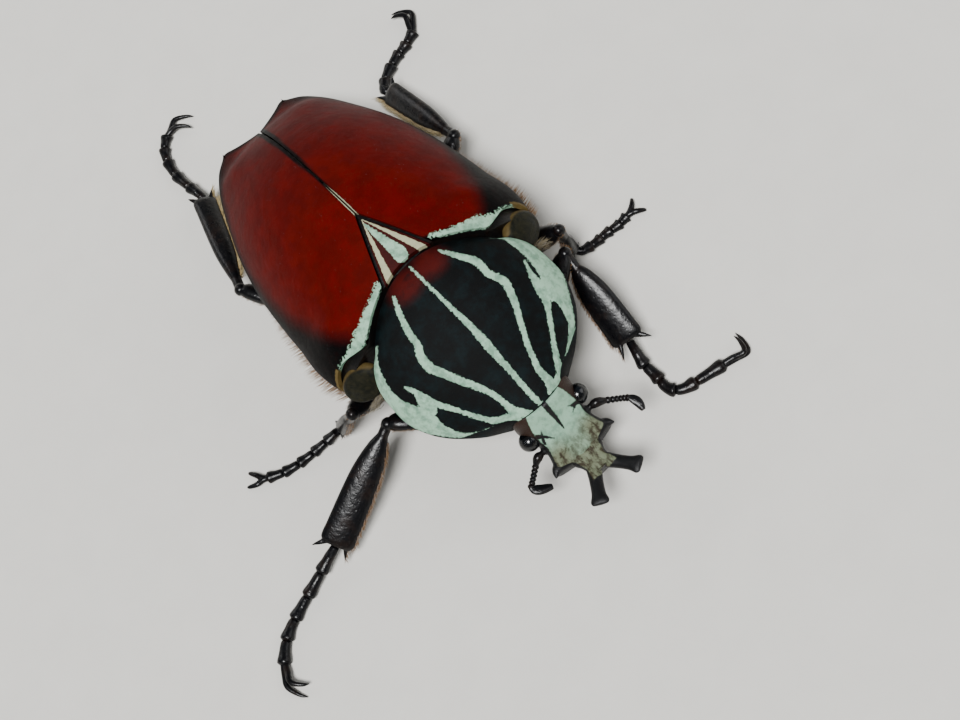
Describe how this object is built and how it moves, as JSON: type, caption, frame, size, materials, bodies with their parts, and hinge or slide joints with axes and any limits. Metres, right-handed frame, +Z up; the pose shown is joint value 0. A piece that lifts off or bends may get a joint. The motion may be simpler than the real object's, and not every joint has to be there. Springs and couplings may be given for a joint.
{
  "type": "goliath beetle",
  "caption": "Male goliath beetle standing on all its feet, horned head lowered, wing cases shut, with a white-striped black thorax; a still, life-size insect model.",
  "frame": {"origin": "centre of the bounding box in plan, on the floor that the feet stand on", "axes": "+Z up, head towards -Y, the beetle's left side towards +X"},
  "size_m": [0.0993, 0.1179, 0.0318],
  "materials": {
    "pronotum": "velvety black with a blue-green sheen and chalk-white stripes",
    "head": "chalk white with grey-brown stains and black edges",
    "horn": "glossy black",
    "eye": "polished black",
    "limb": "glossy punctured black",
    "scutellum": "velvety dark maroon with cream stripes",
    "elytron": "satin oxblood red with a black seam and white front bands",
    "epimeron": "olive brown with a golden rim",
    "underside": "dark glossy cuticle with ochre hair fringes"
  },
  "bodies": {
    "root": {"prothorax": "pronotum", "head": "head", "horn": "horn", "eye_left": "eye", "eye_right": "eye", "antenna_left": "limb", "antenna_right": "limb", "mouthparts": "limb", "scutellum": "scutellum", "elytron_left": "elytron", "elytron_right": "elytron", "epimeron_left": "epimeron", "epimeron_right": "epimeron", "metathorax": "underside", "abdomen": "underside", "pygidium": "underside", "front_left_coxa": "limb", "front_left_femur": "limb", "front_left_tibia": "limb", "front_left_tarsus": "limb", "front_right_coxa": "limb", "front_right_femur": "limb", "front_right_tibia": "limb", "front_right_tarsus": "limb", "middle_left_coxa": "limb", "middle_left_femur": "limb", "middle_left_tibia": "limb", "middle_left_tarsus": "limb", "middle_right_coxa": "limb", "middle_right_femur": "limb", "middle_right_tibia": "limb", "middle_right_tarsus": "limb", "hind_left_coxa": "limb", "hind_left_femur": "limb", "hind_left_tibia": "limb", "hind_left_tarsus": "limb", "hind_right_coxa": "limb", "hind_right_femur": "limb", "hind_right_tibia": "limb", "hind_right_tarsus": "limb"}
  },
  "joints": []
}
